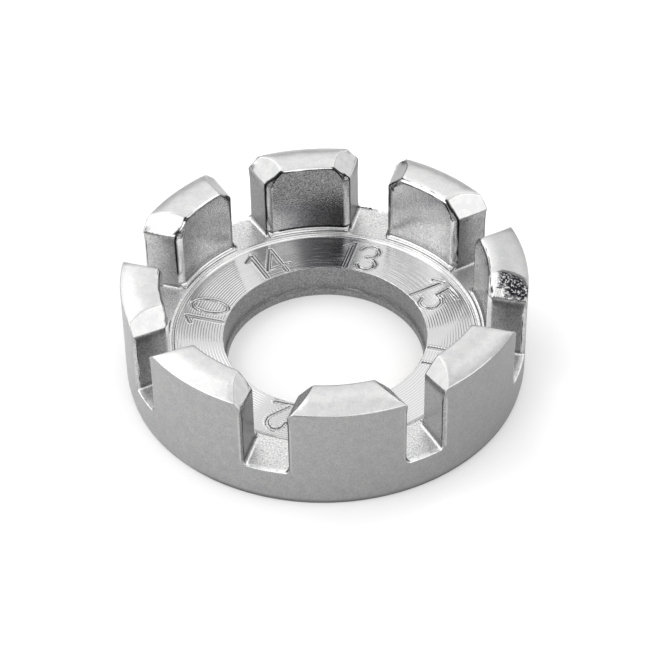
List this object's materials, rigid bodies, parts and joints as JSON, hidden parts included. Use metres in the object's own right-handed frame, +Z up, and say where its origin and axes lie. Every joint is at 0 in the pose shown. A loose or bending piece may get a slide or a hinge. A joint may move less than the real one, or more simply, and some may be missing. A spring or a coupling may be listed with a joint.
{
  "type": "spoke wrench",
  "caption": "Round one-piece spoke wrench: a flat ring with a crown of blocks whose gaps are graded jaws for spoke nipples, each marked with its gauge.",
  "frame": {"origin": "middle of the flat underside, on the axis of the centre hole", "axes": "+Z up out of the base towards the open end of the slots; +X along the slot marked 11, +Y along the slot marked 13"},
  "size_m": [0.053, 0.053, 0.016],
  "materials": {
    "plated_steel": "satin plated, turned face bright, hole as cast"
  },
  "bodies": {
    "root": {"wrench_body": "plated_steel"}
  },
  "joints": []
}
